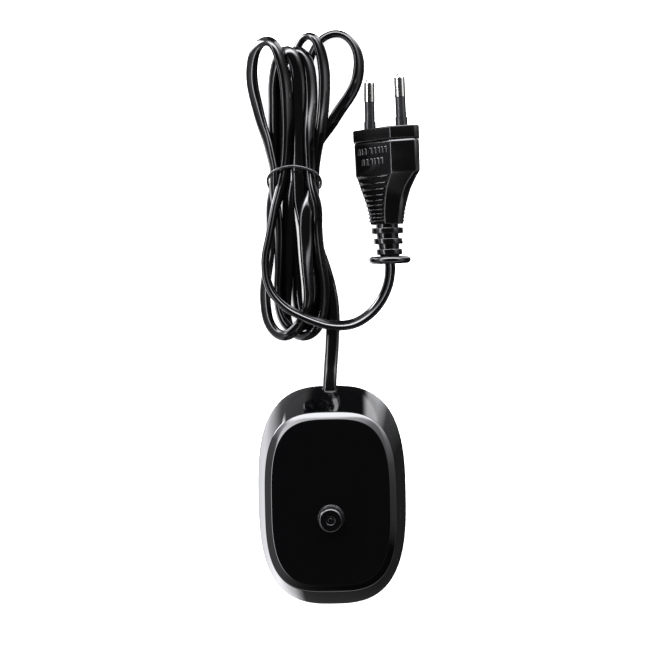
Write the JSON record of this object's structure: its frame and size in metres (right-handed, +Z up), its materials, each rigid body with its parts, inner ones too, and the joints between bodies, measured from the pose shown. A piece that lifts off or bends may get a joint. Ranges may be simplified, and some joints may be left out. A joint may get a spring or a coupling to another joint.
{
  "type": "toothbrush charging base",
  "caption": "Inductive charging base for an electric toothbrush: oval gloss housing with a round post, flat mains cord tied in a hank, and a two-pin Europlug.",
  "frame": {"origin": "on the table, under the middle of the base's footprint, at the underside of its feet", "axes": "+Z up, +Y along the base's length to the side where the cord leaves, +X to the right seen from the front with the cord behind"},
  "size_m": [0.0647, 0.215, 0.0298],
  "materials": {
    "gloss_black": "high gloss",
    "matte_black": "fine texture",
    "rubber_grey": "matte",
    "board_green": "solder mask",
    "film_yellow": "moulded case",
    "can_blue": "shrink sleeve",
    "epoxy_red": "dipped epoxy",
    "epoxy_black": "moulded epoxy",
    "resistor_green": "cement coat",
    "ferrite": "sintered",
    "former_white": "moulded nylon",
    "copper": "enamelled wire",
    "core_brown": "satin PVC",
    "core_blue": "satin PVC",
    "cord_black": "satin PVC",
    "tie_black": "coated wire",
    "plug_black": "satin moulded PVC",
    "insert_black": "satin",
    "nickel": "nickel plated",
    "sleeve_grey": "satin",
    "crimp_brass": "plain"
  },
  "bodies": {
    "root": {"upper_housing": "gloss_black", "base_plate": "matte_black", "rubber_feet": "rubber_grey", "cord_grommet": "cord_black", "circuit_board": "board_green", "film_capacitor": "film_yellow", "electrolytic_capacitor": "can_blue", "resonance_capacitor": "epoxy_red", "bridge_rectifier": "epoxy_black", "fusible_resistor": "resistor_green", "switching_transistor": "epoxy_black", "choke": "ferrite", "coil_former": "former_white", "primary_winding": "copper", "ferrite_rod": "ferrite", "coil_leads": "copper", "supply_wire_brown": "core_brown", "supply_wire_blue": "core_blue", "cord_lead": "cord_black", "cord_hank": "cord_black", "cord_tail": "cord_black", "wire_tie": "tie_black", "plug_body": "plug_black", "plug_insert": "insert_black", "plug_pin_left": "nickel", "plug_pin_right": "nickel", "plug_sleeve_left": "sleeve_grey", "plug_sleeve_right": "sleeve_grey", "plug_crimp_left": "crimp_brass", "plug_crimp_right": "crimp_brass", "plug_core_brown": "core_brown", "plug_core_blue": "core_blue"}
  },
  "joints": []
}
